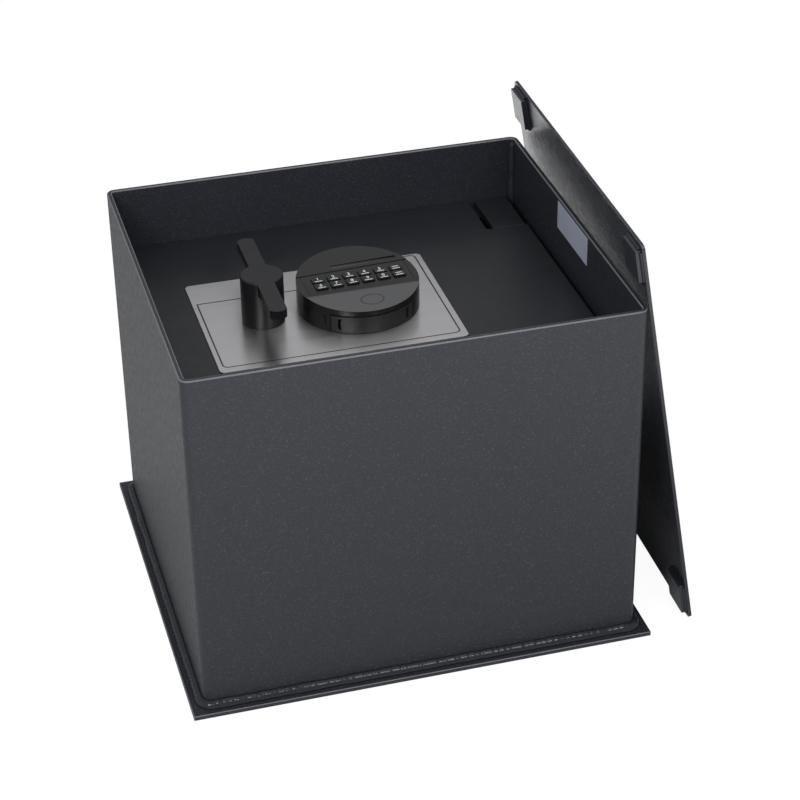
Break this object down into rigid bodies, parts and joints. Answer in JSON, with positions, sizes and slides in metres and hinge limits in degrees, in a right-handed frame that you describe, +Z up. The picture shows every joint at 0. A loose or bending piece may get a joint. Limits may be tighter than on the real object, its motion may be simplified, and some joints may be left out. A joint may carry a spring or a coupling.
{
  "type": "floor safe",
  "caption": "In-floor safe: sheet steel body on a base flange, sunken hinged door with turning handle, bolt work and round electronic keypad, and a loose cover plate.",
  "frame": {"origin": "centre of the underside of the base plate, on the floor", "axes": "+X to the right towards the hinge side and the leaning cover plate, +Y to the back, +Z up, seen from the front"},
  "size_m": [0.4146, 0.336, 0.346],
  "materials": {
    "body_paint": "textured charcoal powder coat",
    "door_paint": "smooth dark charcoal paint",
    "cover_paint": "textured charcoal powder coat",
    "stainless": "brushed stainless sheet",
    "zinc_steel": "bright zinc plated steel",
    "black_steel": "black oxide",
    "handle_paint": "satin dark grey",
    "hard_steel": "hardened plate, ground",
    "lock_zinc": "cast zinc",
    "brass": "plain",
    "shell_plastic": "moulded dark grey",
    "drawer_plastic": "moulded dark grey",
    "key_plastic": "gloss black",
    "strip_plastic": "gloss black window",
    "board": "green circuit board",
    "key_rubber": "soft contact mat",
    "cable_rubber": "black cable sleeve",
    "cell_jacket": "plain cell jacket",
    "carpet": "dark needle felt",
    "label_film": "blank pale film"
  },
  "bodies": {
    "safe": {"body_shell": "body_paint", "base_plate": "body_paint", "base_weld": "body_paint", "corner_weld": "body_paint", "back_ledge": "door_paint", "front_ledge": "door_paint", "left_ledge": "door_paint", "hinge_rail": "door_paint", "hinge_blocks": "door_paint", "hinge_pins": "zinc_steel", "floor_mat": "carpet", "blank_label": "label_film"},
    "door": {"door_plate": "door_paint", "hinge_knuckles": "door_paint", "dead_bar": "door_paint", "face_plate": "stainless", "hard_plate": "hard_steel", "spindle_bush": "brass", "guide_studs": "zinc_steel", "guide_clips": "black_steel", "boltwork_cover": "body_paint", "cover_posts": "zinc_steel", "cover_screws": "zinc_steel", "lock_body": "lock_zinc", "lock_screws": "zinc_steel", "lock_cable": "cable_rubber", "keypad_base": "drawer_plastic", "keypad_shell": "shell_plastic", "keypad_screws": "zinc_steel", "window_strip": "strip_plastic", "circuit_board": "board", "key_mat": "key_rubber"},
    "handle": {"handle": "handle_paint", "spindle": "zinc_steel", "handle_screw": "black_steel", "spindle_washer": "zinc_steel", "cam_disc": "zinc_steel", "crank_pin": "zinc_steel", "spindle_screw": "zinc_steel"},
    "carriage": {"bolt_carriage": "zinc_steel", "locking_bolts": "zinc_steel", "bolt_screws": "black_steel"},
    "lock_bolt": {"lock_bolt": "brass"},
    "drawer": {"battery_drawer": "drawer_plastic", "batteries": "cell_jacket"},
    "cover": {"cover_plate": "cover_paint", "cover_lugs": "cover_paint", "cover_lug_welds": "cover_paint"},
    "key_1": {"key_1": "key_plastic"},
    "key_2": {"key_2": "key_plastic"},
    "key_3": {"key_3": "key_plastic"},
    "key_4": {"key_4": "key_plastic"},
    "key_5": {"key_5": "key_plastic"},
    "key_6": {"key_6": "key_plastic"},
    "key_7": {"key_7": "key_plastic"},
    "key_8": {"key_8": "key_plastic"},
    "key_9": {"key_9": "key_plastic"},
    "key_10": {"key_10": "key_plastic"},
    "key_11": {"key_11": "key_plastic"},
    "key_12": {"key_12": "key_plastic"}
  },
  "joints": [
    {"name": "door_hinge", "type": "hinge", "parent": "safe", "child": "door", "pos_m": [0.15, 0, 0.2285], "axis": [0, 1, 0], "range_deg": [0, 78]},
    {"name": "handle_turn", "type": "hinge", "parent": "door", "child": "handle", "pos_m": [-0.081, 0.003, 0.2415], "axis": [0, 0, 1], "range_deg": [0, 90]},
    {"name": "carriage_slide", "type": "slide", "parent": "door", "child": "carriage", "axis": [1, 0, 0], "range_m": [-0.017, 0]},
    {"name": "lock_bolt_slide", "type": "slide", "parent": "door", "child": "lock_bolt", "axis": [0, -1, 0], "range_m": [0, 0.008]},
    {"name": "drawer_slide", "type": "slide", "parent": "door", "child": "drawer", "axis": [0.0523, -0.9986, 0], "range_m": [0, 0.05]},
    {"name": "cover_lift", "type": "slide", "parent": "safe", "child": "cover", "axis": [0, 0, 1], "range_m": [0, 0.36]},
    {"name": "key_1_press", "type": "slide", "parent": "door", "child": "key_1", "axis": [-0.0038, 0.0723, -0.9974], "range_m": [0, 0.001], "stiffness_N_per_m": 500, "springref_m": -0.001},
    {"name": "key_2_press", "type": "slide", "parent": "door", "child": "key_2", "axis": [-0.0038, 0.0723, -0.9974], "range_m": [0, 0.001], "stiffness_N_per_m": 500, "springref_m": -0.001},
    {"name": "key_3_press", "type": "slide", "parent": "door", "child": "key_3", "axis": [-0.0038, 0.0723, -0.9974], "range_m": [0, 0.001], "stiffness_N_per_m": 500, "springref_m": -0.001},
    {"name": "key_4_press", "type": "slide", "parent": "door", "child": "key_4", "axis": [-0.0038, 0.0723, -0.9974], "range_m": [0, 0.001], "stiffness_N_per_m": 500, "springref_m": -0.001},
    {"name": "key_5_press", "type": "slide", "parent": "door", "child": "key_5", "axis": [-0.0038, 0.0723, -0.9974], "range_m": [0, 0.001], "stiffness_N_per_m": 500, "springref_m": -0.001},
    {"name": "key_6_press", "type": "slide", "parent": "door", "child": "key_6", "axis": [-0.0038, 0.0723, -0.9974], "range_m": [0, 0.001], "stiffness_N_per_m": 500, "springref_m": -0.001},
    {"name": "key_7_press", "type": "slide", "parent": "door", "child": "key_7", "axis": [-0.0038, 0.0723, -0.9974], "range_m": [0, 0.001], "stiffness_N_per_m": 500, "springref_m": -0.001},
    {"name": "key_8_press", "type": "slide", "parent": "door", "child": "key_8", "axis": [-0.0038, 0.0723, -0.9974], "range_m": [0, 0.001], "stiffness_N_per_m": 500, "springref_m": -0.001},
    {"name": "key_9_press", "type": "slide", "parent": "door", "child": "key_9", "axis": [-0.0038, 0.0723, -0.9974], "range_m": [0, 0.001], "stiffness_N_per_m": 500, "springref_m": -0.001},
    {"name": "key_10_press", "type": "slide", "parent": "door", "child": "key_10", "axis": [-0.0038, 0.0723, -0.9974], "range_m": [0, 0.001], "stiffness_N_per_m": 500, "springref_m": -0.001},
    {"name": "key_11_press", "type": "slide", "parent": "door", "child": "key_11", "axis": [-0.0038, 0.0723, -0.9974], "range_m": [0, 0.001], "stiffness_N_per_m": 500, "springref_m": -0.001},
    {"name": "key_12_press", "type": "slide", "parent": "door", "child": "key_12", "axis": [-0.0038, 0.0723, -0.9974], "range_m": [0, 0.001], "stiffness_N_per_m": 500, "springref_m": -0.001}
  ],
  "couplings": [
    {"joint": "carriage_slide", "follows": "handle_turn", "m_per_rad": -0.01082},
    {"joint": "lock_bolt_slide", "follows": "handle_turn", "m_per_rad": 0.005092}
  ]
}
